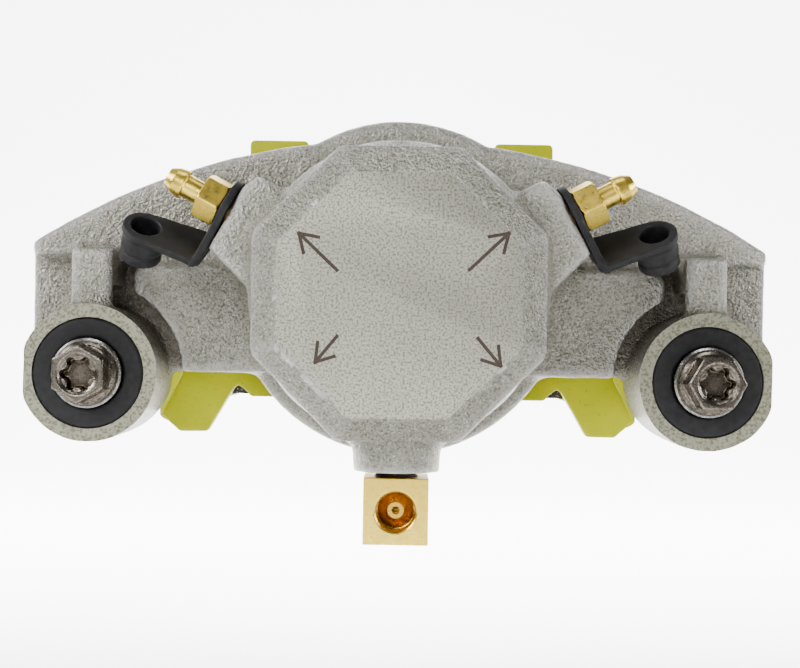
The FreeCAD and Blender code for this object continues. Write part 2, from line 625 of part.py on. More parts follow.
def bleed_cap():
    """A rubber dust cap hanging open from a ring under the bleed screw's hex."""
    out = Vector(BLEED_DIRECTION).normalize()
    axis = Vector(CAP_AXIS).normalize()
    ring_base = BLEED_POINT + out * CAP_RING_BASE
    ring = placed(Part.makeCylinder(CAP_RING_R, STRAP_T), ring_base, BLEED_DIRECTION)
    foot_top = CAP_FOOT_LENGTH - CAP_LENGTH
    waist_top = foot_top + CAP_SLOPE + CAP_WAIST_LENGTH
    cap = turned([(0, 0), (CAP_LIP_R, 0), (CAP_LIP_R, -STRAP_T), (CAP_BODY_R, -STRAP_T - CAP_SLOPE),
                  (CAP_BODY_R, waist_top + CAP_SLOPE), (CAP_WAIST_R, waist_top),
                  (CAP_WAIST_R, foot_top + CAP_SLOPE), (CAP_FOOT_R, foot_top),
                  (CAP_FOOT_R, -CAP_LENGTH), (0, -CAP_LENGTH)])
    hole = Part.makeCylinder(CAP_HOLE_R, CAP_HOLE_DEPTH + 1, Vector(0, 0, -CAP_HOLE_DEPTH))
    clearance = placed(Part.makeCylinder(CAP_RING_BORE_R, 6), BLEED_POINT - out, BLEED_DIRECTION)
    body = ring.fuse([strap(ring_base, out, axis), placed(cap, CAP_MOUTH, CAP_AXIS)])
    return body.cut(placed(hole, CAP_MOUTH, CAP_AXIS)).cut(clearance)


def inlet_fitting():
    """The square brass block, its stud and the threaded port for the brake line."""
    half = BLOCK_SIZE / 2
    front = INLET_Y - half
    up = Vector(0, 0, 1)
    block = box((-half, half), (front, front + BLOCK_SIZE), (BLOCK_BOTTOM_Z, BLOCK_TOP_Z))
    stud = Part.makeCylinder(STUD_R, STUD_TOP_Z - BLOCK_TOP_Z, Vector(0, INLET_Y, BLOCK_TOP_Z), up)
    riser = Part.makeCylinder(INLET_PASSAGE_R, STUD_TOP_Z - PORT_Z + 1, Vector(0, INLET_Y, PORT_Z), up)
    seat_floor = -PORT_DEPTH - SEAT_BACK
    port = turned([(0, 1), (PORT_R + PORT_CHAMFER, 1), (PORT_R + PORT_CHAMFER, 0), (PORT_R, -PORT_CHAMFER),
                   (PORT_R, -PORT_THREAD_END), (PORT_RELIEF_R, -PORT_THREAD_END),
                   (PORT_RELIEF_R, -PORT_DEPTH), (SEAT_R, -PORT_DEPTH), (SEAT_R, seat_floor),
                   (INLET_PASSAGE_R, seat_floor), (INLET_PASSAGE_R, -half - 1), (0, -half - 1)])
    return block.fuse(stud).cut(riser).cut(placed(port, Vector(0, front, PORT_Z), Vector(0, -1, 0)))


def flare_seat():
    """The small cone at the bottom of the port that a flared brake line seals on."""
    seat = turned([(SEAT_BORE_R, -SEAT_BACK), (SEAT_R, -SEAT_BACK), (SEAT_R, 0),
                   (SEAT_NOSE_R, SEAT_NOSE), (SEAT_BORE_R, SEAT_NOSE)])
    bottom = INLET_Y - BLOCK_SIZE / 2 + PORT_DEPTH
    return placed(seat, Vector(0, bottom, PORT_Z), Vector(0, -1, 0))


def write(name, shape):
    """Writes one piece and stops if it isn't one sound solid."""
    if not shape.isValid() or len(shape.Solids) != 1:
        raise ValueError("%s has %d solids" % (name, len(shape.Solids)))
    shape.Solids[0].exportStep("parts/%s.step" % name)


def write_pair(name, left):
    """Writes the left piece and its mirror on the right."""
    write(name + "_left", left)
    write(name + "_right", mirrored(left))


write("caliper_housing", caliper_housing())
write("piston", piston())
write("piston_seal", piston_seal())
write("dust_boot", dust_boot())
write("boot_retaining_ring", boot_retaining_ring())
write("inner_pad_plate", inner_pad_plate())
write("inner_pad_lining", pad_lining(INNER_LINING_Y))
write("inner_pad_spring", inner_pad_spring())
write("outer_pad_plate", outer_pad_plate())
write("outer_pad_lining", pad_lining(OUTER_LINING_Y))
write("inlet_fitting", inlet_fitting())
write("flare_seat", flare_seat())
write("guide_bolt_left", guide_bolt(-BOLT_X, LEFT_HEX_TURN))
write("guide_bolt_right", guide_bolt(BOLT_X, 0))
write_pair("guide_sleeve", guide_sleeve())
write_pair("front_bushing", bushing(EAR_FRONT_Y))
write_pair("rear_bushing", bushing(EAR_REAR_Y - BUSHING_LENGTH))
write_pair("bleed_screw", bleed_screw())
write_pair("bleed_cap", bleed_cap())
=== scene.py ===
"""Looks of the brake caliper. Units are metres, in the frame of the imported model."""
import json
import math
import bmesh
import bpy
import numpy as np
from mathutils import Matrix, Vector, noise


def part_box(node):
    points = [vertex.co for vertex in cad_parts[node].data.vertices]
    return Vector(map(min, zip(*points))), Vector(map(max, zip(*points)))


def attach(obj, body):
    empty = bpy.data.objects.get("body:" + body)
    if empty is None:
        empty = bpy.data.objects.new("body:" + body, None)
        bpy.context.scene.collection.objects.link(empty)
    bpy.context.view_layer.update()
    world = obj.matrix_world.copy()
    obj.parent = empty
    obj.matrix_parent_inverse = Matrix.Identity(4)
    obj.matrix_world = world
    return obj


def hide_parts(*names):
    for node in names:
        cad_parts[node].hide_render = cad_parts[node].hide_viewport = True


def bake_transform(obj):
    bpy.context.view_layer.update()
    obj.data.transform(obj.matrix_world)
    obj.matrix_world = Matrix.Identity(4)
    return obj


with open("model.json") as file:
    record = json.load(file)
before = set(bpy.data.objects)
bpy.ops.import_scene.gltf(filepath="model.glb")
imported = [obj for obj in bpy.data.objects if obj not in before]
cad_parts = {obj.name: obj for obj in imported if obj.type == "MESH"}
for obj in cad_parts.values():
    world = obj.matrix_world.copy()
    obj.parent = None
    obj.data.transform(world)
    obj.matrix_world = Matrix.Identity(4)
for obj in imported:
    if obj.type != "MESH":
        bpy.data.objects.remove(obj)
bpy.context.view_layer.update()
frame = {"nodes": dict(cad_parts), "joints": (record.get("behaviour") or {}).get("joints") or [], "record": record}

MM = 0.001
SIDES = ("left", "right")
BOLT_X = frame["record"]["mounts"][0]["dims"]["pcd_mm"] * MM / 2
HOUSING_LOW, HOUSING_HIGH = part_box("caliper_housing")
FACE_Y = HOUSING_LOW.y
PISTON_LOW, PISTON_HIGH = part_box("piston")
PISTON_Z = (PISTON_LOW.z + PISTON_HIGH.z) / 2
PISTON_R = (PISTON_HIGH.x - PISTON_LOW.x) / 2
FRONT_BUSHING_LOW, FRONT_BUSHING_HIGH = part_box("front_bushing_right")
REAR_BUSHING_LOW, REAR_BUSHING_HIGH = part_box("rear_bushing_right")
BUSHING_R = (FRONT_BUSHING_HIGH.x - FRONT_BUSHING_LOW.x) / 2
EAR_FRONT_Y = FRONT_BUSHING_LOW.y
EAR_REAR_Y = REAR_BUSHING_HIGH.y
INLET_Y = sum(corner.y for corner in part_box("inlet_fitting")) / 2
JOINTS = {joint["name"]: joint for joint in frame["joints"]}

# casting
CUT_DEPTH = 5.0 * MM
CUT_REACH = 60.0 * MM
PLUG_START = 5.0 * MM
CAST_VOXEL = 0.8 * MM
CAST_SMOOTHING = 2
FILLET_PASSES = 20
FILLET_STEP = 0.6
CAST_LUMPS = ((7.0 * MM, 0.14 * MM), (2.2 * MM, 0.05 * MM))
MACHINING_STOCK = 1.2 * MM
BEVEL_RUN = 2.0
EAR_R = 15.4 * MM
EAR_FLAT = 14.4 * MM
EAR_MILL_X = 17.0 * MM
EAR_MILL_Z = (-18.0 * MM, 17.0 * MM)
BORE_CLEARANCE = 0.05 * MM
EAR_WEB_R = 9.6 * MM
SEAL_SEAT_R = 33.0 * MM
BARREL_REAR_Y = 3.0 * MM
PISTON_PATH_R = 29.5 * MM
PISTON_PATH_Y = 27.0 * MM
INLET_BOSS_R = 9.4 * MM
INLET_BOSS_Z = -20.4 * MM
INLET_HOLE_R = 4.8 * MM
BLEED_HOLE_R = 4.0 * MM
BLEED_HOLE_DEPTH = 9.2 * MM
INLET_HOLE_DEPTH = 9.2 * MM
SPOTFACE_R = 9.0 * MM
SPOTFACE_DEPTH = 2.6 * MM
FINGER_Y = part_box("outer_pad_plate")[1].y
UNDER_BRIDGE_R = 129.5 * MM
ROTOR_Z = -84.0 * MM
TAB_X = (25.6 * MM, 41.8 * MM)
TAB_GAP = 0.6 * MM
TAB_SLOT_Y = 5.6 * MM
TAB_SLOT_Z = (30.0 * MM, 70.0 * MM)
ETCH_DEPTH = 0.12 * MM
ARROW_STROKE = 0.75 * MM
ARROW_BARB = 4.6 * MM
ARROW_SPREAD = math.radians(33)
ARROW_FIELD = 25.0 * MM
ARROW_FIELD_CORNER = 36.0 * MM
ARROWS = (
    ((-13.1, 23.0), (-21.6, 31.0)),
    ((14.7, 23.5), (23.3, 31.7)),
    ((-12.9, 9.4), (-17.7, 3.5)),
    ((16.8, 9.4), (22.0, 3.3)),
)

# fasteners and fittings
BOLT_VOXEL = 0.19 * MM
BOLT_THREAD_R = 5.5 * MM
BOLT_PITCH = 1.27 * MM
THREAD_DEPTH = 0.6 * MM
THREAD_TOLERANCE = 0.2 * MM
BOLT_THREAD_START = 0.6 * MM
BOLT_THREAD_STOP = 1.0 * MM
SLEEVE_BORE_R = 5.6 * MM
SLEEVE_CHAMFER = 0.4 * MM
BUSHING_BORE_R = 7.9 * MM
BUSHING_LIP = 0.8 * MM
GROOVE_DEPTH = 0.6 * MM
GROOVE_TOP = 0.5 * MM
GROOVE_FLOOR = 0.3 * MM
FITTING_VOXEL = 0.15 * MM
BLEED_SHANK_R = 3.9 * MM
BLEED_THREAD = (-8.5 * MM, 0.2 * MM)
BLEED_THREAD_DEPTH = 0.4 * MM
CAP_VOXEL = 0.25 * MM
CAP_SMOOTHING = 8
STUD_R = 4.75 * MM
INLET_PITCH = 1.06 * MM
BLOCK_TOP_Z = -21.65 * MM
PORT_HEIGHT = 7.2 * MM
PORT_R = 4.2 * MM
PORT_THREAD_END = 3.8 * MM
PORT_THREAD_START = 0.5 * MM
PORT_THREAD_DEPTH = 0.25 * MM
PLATE_VOXEL = 0.5 * MM
LINING_LUMPS = ((1.4 * MM, 0.08 * MM),)
LINING_SEED = 5.0
BOOT_FOLD_R = 30.5 * MM
BOOT_WALL = 0.7 * MM
BOOT_PLEATS = ((1.5, 0.0), (2.1, -0.35), (2.7, 0.0), (3.3, -0.35), (3.9, 0.0))

# studio
FLOOR_Z = -0.12
FLOOR_SIZE = 2.0
SWEEP_R = 1.5
WORLD_LIGHT = 0.10
CAMERA_LENS = 70.5
CAMERA_PLACE = (0.00035, -0.378, 0.0098)
CAMERA_ROLL = math.radians(0.92)


# mesh helpers

def new_object(name, mesh):
    """A linked object with this mesh."""
    piece = bpy.data.objects.new(name, mesh)
    bpy.context.scene.collection.objects.link(piece)
    return piece


def from_points(name, points, faces):
    """An object from points and faces, with its normals made to face outwards."""
    mesh = bpy.data.meshes.new(name)
    mesh.from_pydata([tuple(p) for p in points], [], faces)
    form = bmesh.new()
    form.from_mesh(mesh)
    bmesh.ops.recalc_face_normals(form, faces=form.faces)
    form.to_mesh(mesh)
    form.free()
    return new_object(name, mesh)


def cad_copy(node, name):
    """A new object with a welded copy of a CAD node's mesh."""
    mesh = frame["nodes"][node].data.copy()
    mesh.materials.clear()
    form = bmesh.new()
    form.from_mesh(mesh)
    bmesh.ops.remove_doubles(form, verts=form.verts, dist=0.002 * MM)
    form.to_mesh(mesh)
    form.free()
    return new_object(name, mesh)


def settle(piece):
    """Applies every modifier on a piece."""
    graph = bpy.context.evaluated_depsgraph_get()
    graph.update()
    mesh = bpy.data.meshes.new_from_object(piece.evaluated_get(graph))
    piece.modifiers.clear()
    piece.data = mesh
    return piece


def remeshed(piece, voxel, smoothing, factor=0.5):
    """The piece rebuilt from small voxels, with its edges rounded by smoothing."""
    remesh = piece.modifiers.new("remesh", "REMESH")
    remesh.mode = "VOXEL"
    remesh.voxel_size = voxel
    if smoothing:
        smooth = piece.modifiers.new("smooth", "SMOOTH")
        smooth.factor = factor
        smooth.iterations = smoothing
    return settle(piece)


def joined(target, *others):
    """Adds the meshes of other objects to the target and removes them."""
    form = bmesh.new()
    form.from_mesh(target.data)
    for other in others:
        form.from_mesh(other.data)
        bpy.data.objects.remove(other)
    form.to_mesh(target.data)
    form.free()
    return target


def cut(piece, cutter):
    """Cuts one closed shape out of another."""
    knife = piece.modifiers.new("cut", "BOOLEAN")
    knife.operation = "DIFFERENCE"
    knife.solver = "MANIFOLD"
    knife.object = cutter
    settle(piece)
    bpy.data.objects.remove(cutter)
    return piece


def axis_frame(axis):
    """Two unit vectors across an axis."""
    axis = Vector(axis).normalized()
    helper = Vector((0, 0, 1)) if abs(axis.z) < 0.9 else Vector((1, 0, 0))
    side = axis.cross(helper).normalized()
    return side, axis.cross(side).normalized()


def lathe(name, profile, origin, axis, steps=96):
    """A closed solid of (radius, distance along the axis) points turned about an axis."""
    axis = Vector(axis).normalized()
    side, up = axis_frame(axis)
    points = []
    for radius, along in profile:
        for i in range(steps):
            angle = math.tau * i / steps
            out = side * math.cos(angle) + up * math.sin(angle)
            points.append(Vector(origin) + axis * along + out * radius)
    rows = len(profile)
    faces = []
    for row in range(rows):
        for i in range(steps):
            j = (i + 1) % steps
            a, b = row * steps, ((row + 1) % rows) * steps
            faces.append((a + i, a + j, b + j, b + i))
    piece = from_points(name, points, faces)
    form = bmesh.new()
    form.from_mesh(piece.data)
    bmesh.ops.remove_doubles(form, verts=form.verts, dist=0.0005 * MM)
    bmesh.ops.recalc_face_normals(form, faces=form.faces)
    form.to_mesh(piece.data)
    form.free()
    return piece


def rod(name, radius, start, end, origin, axis, steps=96):
    """A closed cylinder between two distances along an axis."""
    return lathe(name, [(0, start), (radius, start), (radius, end), (0, end)], origin, axis, steps)


def drum(radius, y0, y1, x, z):
    """A closed cylinder along Y."""
    return rod("drum", radius, 0, y1 - y0, (x, y0, z), (0, 1, 0), 128)


def block(low, high, turn=Matrix.Identity(4)):
    """A closed box between two corners, then turned."""
    form = bmesh.new()
    bmesh.ops.create_cube(form, size=1.0)
    size, middle = Vector(high) - Vector(low), (Vector(low) + Vector(high)) / 2
    for vert in form.verts:
        vert.co = turn @ (Vector(a * b for a, b in zip(vert.co, size)) + middle)
    mesh = bpy.data.meshes.new("block")
    form.to_mesh(mesh)
    form.free()
    return new_object("block", mesh)


def shade(piece, degrees=35):
    """Smooth shading that keeps edges sharper than the angle."""
    piece.data.shade_smooth()
    piece.data.set_sharp_from_angle(angle=math.radians(degrees))
    return piece


def vertex_array(mesh, what="co"):
    """Vertex coordinates or normals as an array of rows."""
    rows = np.empty(len(mesh.vertices) * 3, np.float64)
    if what == "co":
        mesh.vertices.foreach_get("co", rows)
    else:
        mesh.vertices.foreach_get("normal", rows)
    return rows.reshape(-1, 3)


def roughen(piece, layers, seed=0.0):
    """Moves the surface in and out by layers of (feature size, height) noise."""
    points, normals = vertex_array(piece.data), vertex_array(piece.data, "normal")
    shift = np.zeros(len(points))
    for size, height in layers:
        wave = [noise.noise(Vector(p) / size + Vector((seed, seed, seed))) for p in points]
        shift += np.array(wave) * height
    piece.data.vertices.foreach_set("co", (points + normals * shift[:, None]).ravel())
    piece.data.update()
    return piece


def keep_inside(piece, low, high):
    """Brings every vertex that lies outside a box back to its side."""
    points = np.clip(vertex_array(piece.data), low, high)
    piece.data.vertices.foreach_set("co", points.ravel())
    piece.data.update()
    return piece


def finish_piece(piece, body, slot, *nodes, keep_below=35):
    """Shades a piece, ties it to its body and hides the nodes that it stands for; the slot argument is not used.
    """
    shade(piece, keep_below)
    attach(piece, body)
    if nodes:
        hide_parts(*nodes)
    return piece


# materials

class Shader:
    """A node material being built: small helpers around one Principled shader."""

    def __init__(self, name, color, metallic, roughness):
        self.material = bpy.data.materials.new(name)
        self.material.use_nodes = True
        self.tree = self.material.node_tree
        self.surface = self.tree.nodes["Principled BSDF"]
        self.set("Base Color", (*color, 1.0))
        self.set("Metallic", metallic)
        self.set("Roughness", roughness)
        self.places = self.tree.nodes.new("ShaderNodeTexCoord").outputs["Object"]

    def set(self, socket, value):
        self.surface.inputs[socket].default_value = value

    def node(self, kind, **values):
        made = self.tree.nodes.new(kind)
        for key, value in values.items():
            setattr(made, key, value)
        return made

    def link(self, output, node, socket):
        self.tree.links.new(output, node.inputs[socket])

    def noise(self, size, detail=3.0, stretch=None, roughness=0.55):
        """Cloudy noise whose blobs are about this size; returns its 0 to 1 output."""
        texture = self.node("ShaderNodeTexNoise")
        texture.inputs["Scale"].default_value = 1 / size
        texture.inputs["Detail"].default_value = detail
        texture.inputs["Roughness"].default_value = roughness
        self.link(self.stretched(stretch), texture, "Vector")
        return texture.outputs["Fac"]

    def stretched(self, stretch):
        """The surface's own coordinates, scaled differently along each axis."""
        if stretch is None:
            return self.places
        mapping = self.node("ShaderNodeMapping")
        mapping.inputs["Scale"].default_value = stretch
        self.link(self.places, mapping, "Vector")
        return mapping.outputs["Vector"]

    def ramp(self, value, low, high, start=0.0, end=1.0):
        """A 0 to 1 value turned into a number between start and end over the span low to high."""
        mapped = self.node("ShaderNodeMapRange")
        for socket, number in zip(("From Min", "From Max", "To Min", "To Max"), (low, high, start, end)):
            mapped.inputs[socket].default_value = number
        self.link(value, mapped, "Value")
        return mapped.outputs["Result"]

    def math(self, operation, first, second):
        made = self.node("ShaderNodeMath", operation=operation)
        for i, value in enumerate((first, second)):
            if isinstance(value, (int, float)):
                made.inputs[i].default_value = value
            else:
                self.tree.links.new(value, made.inputs[i])
        return made.outputs[0]

    def blend(self, fac, first, second):
        """A colour between two others."""
        mix = self.node("ShaderNodeMix", data_type="RGBA")
        self.tree.links.new(fac, mix.inputs[0])
        for i, value in ((6, first), (7, second)):
            if isinstance(value, tuple):
                mix.inputs[i].default_value = (*value, 1.0)
            else:
                self.tree.links.new(value, mix.inputs[i])
        return mix.outputs[2]

    def recess(self, distance):
        """1 in the open and lower in corners and recesses."""
        made = self.node("ShaderNodeAmbientOcclusion", samples=8)
        made.inputs["Distance"].default_value = distance
        return made.outputs["AO"]

    def ridge(self):
        """Above a half on outward edges and below it in creases."""
        return self.node("ShaderNodeNewGeometry").outputs["Pointiness"]

    def color(self, output):
        self.link(output, self.surface, "Base Color")

    def rough(self, output):
        self.link(output, self.surface, "Roughness")

    def bump(self, height, distance, strength=1.0):
        made = self.node("ShaderNodeBump")
        made.inputs["Distance"].default_value = distance
        made.inputs["Strength"].default_value = strength
        self.link(height, made, "Height")
        self.link(made.outputs["Normal"], self.surface, "Normal")


def cast_material():
    """Sand-cast iron under a thin grey metallic coating, with crinkled grain, painted highlights on outward edges
    and painted brownish shade in creases and recesses.
    """
    shader = Shader("cast_coating", (0.4, 0.385, 0.36), 0.85, 0.42)
    grain = shader.noise(0.6 * MM, 3.0)
    patches = shader.noise(8 * MM, 3.0)
    light = shader.blend(shader.ramp(patches, 0.35, 0.65), (0.315, 0.307, 0.255), (0.37, 0.36, 0.305))
    grainy = shader.blend(shader.ramp(grain, 0.32, 0.54), (0.165, 0.158, 0.13), light)
    fleck = shader.ramp(shader.noise(0.4 * MM, 1.0), 0.60, 0.70)
    flecked = shader.blend(fleck, grainy, (0.56, 0.55, 0.52))
    # painted highlight: a lighter colour on outward edges, driven by pointiness
    with_painted_highlight = shader.blend(shader.ramp(shader.ridge(), 0.50, 0.56), flecked, (0.58, 0.57, 0.54))
    # painted shade: a dark colour in concave creases, driven by pointiness
    with_painted_crease_shade = shader.blend(shader.ramp(shader.ridge(), 0.44, 0.50), (0.15, 0.14, 0.12), with_painted_highlight)
    # painted shade: a dark brownish colour in recesses, driven by ambient occlusion
    painted_shade_mask = shader.ramp(shader.recess(6 * MM), 0.20, 0.85)
    shader.color(shader.blend(painted_shade_mask, (0.22, 0.195, 0.16), with_painted_crease_shade))
    shader.rough(shader.ramp(grain, 0.3, 0.7, 0.46, 0.32))
    height = shader.math("ADD", grain, shader.math("MULTIPLY", shader.noise(1.6 * MM, 2.0), 1.0))
    shader.bump(height, 0.9 * MM, 1.0)
    return shader.material


def machined_material(name, color, dark, grain_size):
    """A milled face under the same coating, with fine speckle."""
    shader = Shader(name, color, 0.5, 0.45)
    speckle = shader.noise(grain_size, 2.0)
    patches = shader.noise(9 * MM, 2.0)
    base = shader.blend(shader.ramp(patches, 0.3, 0.7), color, tuple(0.93 * c for c in color))
    shader.color(shader.blend(shader.ramp(speckle, 0.38, 0.54), dark, base))
    shader.rough(shader.ramp(speckle, 0.3, 0.7, 0.55, 0.40))
    shader.bump(speckle, 0.08 * MM, 0.7)
    return shader.material


def etch_material():
    """The dark brown of laser-marked metal."""
    shader = Shader("laser_mark", (0.04, 0.026, 0.018), 0.1, 0.6)
    burn = shader.noise(0.3 * MM, 2.0)
    shader.color(shader.blend(shader.ramp(burn, 0.3, 0.7), (0.022, 0.014, 0.010), (0.075, 0.048, 0.032)))
    return shader.material


def rubber_material():
    """Moulded black rubber with a little bloom."""
    shader = Shader("black_rubber", (0.010, 0.010, 0.011), 0.0, 0.55)
    shader.set("Specular IOR Level", 0.24)
    bloom = shader.noise(2.0 * MM, 4.0)
    bloomed = shader.ramp(bloom, 0.35, 0.75)
    shader.color(shader.blend(bloomed, (0.009, 0.009, 0.0095), (0.022, 0.022, 0.024)))
    shader.rough(shader.ramp(bloom, 0.3, 0.7, 0.45, 0.65))
    shader.bump(shader.noise(0.3 * MM, 3.0), 0.04 * MM, 0.6)
    return shader.material


def steel_material(name="plated_steel", color=(0.20, 0.18, 0.15), roughness=0.24):
    """Bright plated steel with fine turning marks, brown stains at random, and painted dark brown shade in its
    recesses.
    """
    shader = Shader(name, color, 1.0, roughness)
    stain = shader.noise(0.9 * MM, 4.0)
    dull = tuple(0.5 * c for c in (color[0], color[1] * 0.92, color[2] * 0.84))
    # painted shade: a dark brown colour in the recesses, driven by ambient occlusion
    painted_shade_mask = shader.ramp(shader.recess(3.5 * MM), 0.35, 0.95)
    clean = shader.blend(shader.ramp(stain, 0.44, 0.66), color, dull)
    shader.color(shader.blend(painted_shade_mask, (0.05, 0.034, 0.020), clean))
    shader.rough(shader.ramp(stain, 0.3, 0.7, roughness * 0.8, roughness * 1.6))
    shader.bump(shader.noise(0.35 * MM, 3.0), 0.05 * MM, 0.6)
    return shader.material


def brass_material(name="brass", color=(0.95, 0.72, 0.12), roughness=0.30):
    """Machined brass with small dark pits and faint scratches."""
    shader = Shader(name, color, 1.0, roughness)
    tone = shader.noise(2.2 * MM, 3.0)
    pits = shader.ramp(shader.noise(0.45 * MM, 1.0), 0.26, 0.38)
    tarnish = tuple(c * k for c, k in zip(color, (0.86, 0.78, 0.66)))
    warm = shader.blend(shader.ramp(tone, 0.35, 0.7), color, tarnish)
    pitted = shader.blend(pits, tuple(0.5 * c for c in color), warm)
    # painted shade: a dark brown colour in the recesses, driven by ambient occlusion
    painted_shade_mask = shader.ramp(shader.recess(1.6 * MM), 0.25, 0.8)
    shader.color(shader.blend(painted_shade_mask, (0.30, 0.15, 0.02), pitted))
    shader.rough(shader.ramp(tone, 0.3, 0.7, roughness * 0.8, roughness * 1.5))
    scratches = shader.noise(0.3 * MM, 2.0, (0.12, 1.0, 1.0))
    shader.bump(shader.math("ADD", scratches, pits), 0.04 * MM, 0.5)
    return shader.material


def plate_material():
    """Steel under yellow-green passivation, with painted shade darkening its recesses."""
    shader = Shader("green_passivate", (0.42, 0.45, 0.0), 0.0, 0.42)
    shader.set("Specular IOR Level", 0.10)
    cloud = shader.noise(7 * MM, 4.0)
    base = shader.blend(shader.ramp(cloud, 0.35, 0.7), (0.45, 0.49, 0.0), (0.52, 0.52, 0.0))
    spots = shader.ramp(shader.noise(0.8 * MM, 2.0), 0.28, 0.38)
    spotted = shader.blend(spots, (0.28, 0.30, 0.001), base)
    # painted shade: a darker colour in the recesses, driven by ambient occlusion
    painted_shade_mask = shader.ramp(shader.recess(8 * MM), 0.3, 0.9)
    shader.color(shader.blend(painted_shade_mask, (0.20, 0.19, 0.001), spotted))
    shader.rough(shader.ramp(cloud, 0.3, 0.7, 0.30, 0.44))
    shader.bump(shader.noise(0.6 * MM, 3.0), 0.04 * MM, 0.5)
    return shader.material


def friction_material():
    """Pressed friction material: dark binder with grey, white and copper grains."""
    shader = Shader("friction_mix", (0.05, 0.048, 0.045), 0.0, 0.85)
    clouds = shader.ramp(shader.noise(1.2 * MM, 3.0), 0.35, 0.7)
    binder = shader.blend(clouds, (0.026, 0.024, 0.022), (0.075, 0.07, 0.065))
    grit = shader.ramp(shader.noise(0.7 * MM, 1.0), 0.63, 0.68)
    copper = shader.ramp(shader.noise(0.9 * MM, 0.0, (1.0, 1.3, 0.8)), 0.70, 0.73)
    gritty = shader.blend(grit, binder, (0.30, 0.29, 0.27))
    shader.color(shader.blend(copper, gritty, (0.42, 0.20, 0.08)))
    shader.bump(shader.noise(0.5 * MM, 3.0), 0.15 * MM, 0.8)
    return shader.material


def sealant_material():
    """Dark brown thread sealant."""
    shader = Shader("thread_sealant", (0.035, 0.02, 0.014), 0.0, 0.5)
    lumps = shader.noise(0.5 * MM, 3.0)
    shader.color(shader.blend(shader.ramp(lumps, 0.35, 0.65), (0.015, 0.009, 0.006), (0.06, 0.035, 0.025)))
    shader.bump(lumps, 0.15 * MM, 0.8)
    return shader.material


CAST = cast_material()
MACHINED = machined_material("machined_face", (0.44, 0.43, 0.355), (0.20, 0.195, 0.155), 0.5 * MM)
EAR_FACE = machined_material("ear_face", (0.34, 0.335, 0.25), (0.16, 0.16, 0.10), 0.6 * MM)
ETCHED = etch_material()
RUBBER = rubber_material()
STEEL = steel_material()
SLEEVE_STEEL = steel_material("sleeve_steel", (0.50, 0.50, 0.49), 0.24)
SPRING_STEEL = steel_material("spring_steel", (0.42, 0.42, 0.43), 0.34)
PISTON_STEEL = steel_material("ground_steel", (0.64, 0.64, 0.65), 0.16)
BRASS = brass_material()
PORT_BRASS = brass_material("port_brass", (0.72, 0.44, 0.07), 0.26)
PLATE = plate_material()
FRICTION = friction_material()
SEALANT = sealant_material()


# the casting

def ear_places():
    """The X of each ear's axis."""
    return (-BOLT_X, BOLT_X)


def add_stock(body):
    """Leaves extra metal on every face that is machined later, and fills the bores."""
    points = vertex_array(body.data)
    on_face = points[:, 1] < FACE_Y + 0.01 * MM
    middle = (points[on_face].min(axis=0) + points[on_face].max(axis=0)) / 2
    reach = points[on_face][:, 2].max() - middle[2]
    shrink = 1 - BEVEL_RUN * MACHINING_STOCK / reach
    points[on_face] = middle + (points[on_face] - middle) * (shrink, 1, shrink)
    points[on_face, 1] -= MACHINING_STOCK
    body.data.vertices.foreach_set("co", points.ravel())
    plugs = []
    for x in ear_places():
        ear = drum(EAR_R, EAR_FRONT_Y - MACHINING_STOCK, EAR_REAR_Y + MACHINING_STOCK, x, 0)
        flat_x = math.copysign(BOLT_X + EAR_FLAT, x)
        outside = sorted((flat_x, 2 * flat_x))
        plugs.append(cut(ear, block((outside[0], 2 * FACE_Y, -BOLT_X), (outside[1], BOLT_X, BOLT_X))))
    plugs.append(drum(SEAL_SEAT_R, FACE_Y + PLUG_START, BARREL_REAR_Y, 0, PISTON_Z))
    inlet = (0, INLET_Y, INLET_BOSS_Z)
    plugs.append(rod("plug", INLET_BOSS_R, -MACHINING_STOCK, 10 * MM, inlet, (0, 0, 1)))
    for side in SIDES:
        joint = JOINTS["bleed_screw_%s_turn" % side]
        depth = -BLEED_HOLE_DEPTH - 2 * MM
        plugs.append(rod("plug", BLEED_HOLE_R, depth, MACHINING_STOCK, joint["pos_m"], joint["axis"]))
    return joined(body, *plugs)


def filleted(body):
    """Fills the inside corners of a casting so that its surfaces flow into each other."""
    mesh = body.data
    ends = np.empty(len(mesh.edges) * 2, np.int64)
    mesh.edges.foreach_get("vertices", ends)
    first, second = ends[0::2], ends[1::2]
    count = len(mesh.vertices)
    degree = np.maximum(np.bincount(ends, minlength=count), 1)[:, None]
    points = vertex_array(mesh)
    for _ in range(FILLET_PASSES):
        mesh.vertices.foreach_set("co", points.ravel())
        mesh.update()
        normals = vertex_array(mesh, "normal")
        total = np.empty_like(points)
        for k in range(3):
            total[:, k] = np.bincount(first, points[second, k], count)
            total[:, k] += np.bincount(second, points[first, k], count)
        drift = total / degree - points
        rise = np.einsum("ij,ij->i", drift, normals)
        points = points + normals * (np.maximum(rise, 0) * FILLET_STEP)[:, None]
    mesh.vertices.foreach_set("co", points.ravel())
    mesh.update()
    return body


def ear_cutters(x):
    """The two milled faces of an ear and its stepped bore."""
    low_x, high_x = x - EAR_MILL_X, x + EAR_MILL_X
    low_z, high_z = EAR_MILL_Z
    bore_r = BUSHING_R + BORE_CLEARANCE
    return [
        block((low_x, EAR_FRONT_Y - CUT_DEPTH, low_z), (high_x, EAR_FRONT_Y, high_z)),
        block((low_x, EAR_REAR_Y, low_z), (high_x, EAR_REAR_Y + CUT_DEPTH, high_z)),
        drum(bore_r, EAR_FRONT_Y - CUT_DEPTH - 1 * MM, FRONT_BUSHING_HIGH.y, x, 0),
        drum(bore_r, REAR_BUSHING_LOW.y, EAR_REAR_Y + CUT_DEPTH + 1 * MM, x, 0),
        drum(EAR_WEB_R, EAR_FRONT_Y, EAR_REAR_Y, x, 0),
    ]


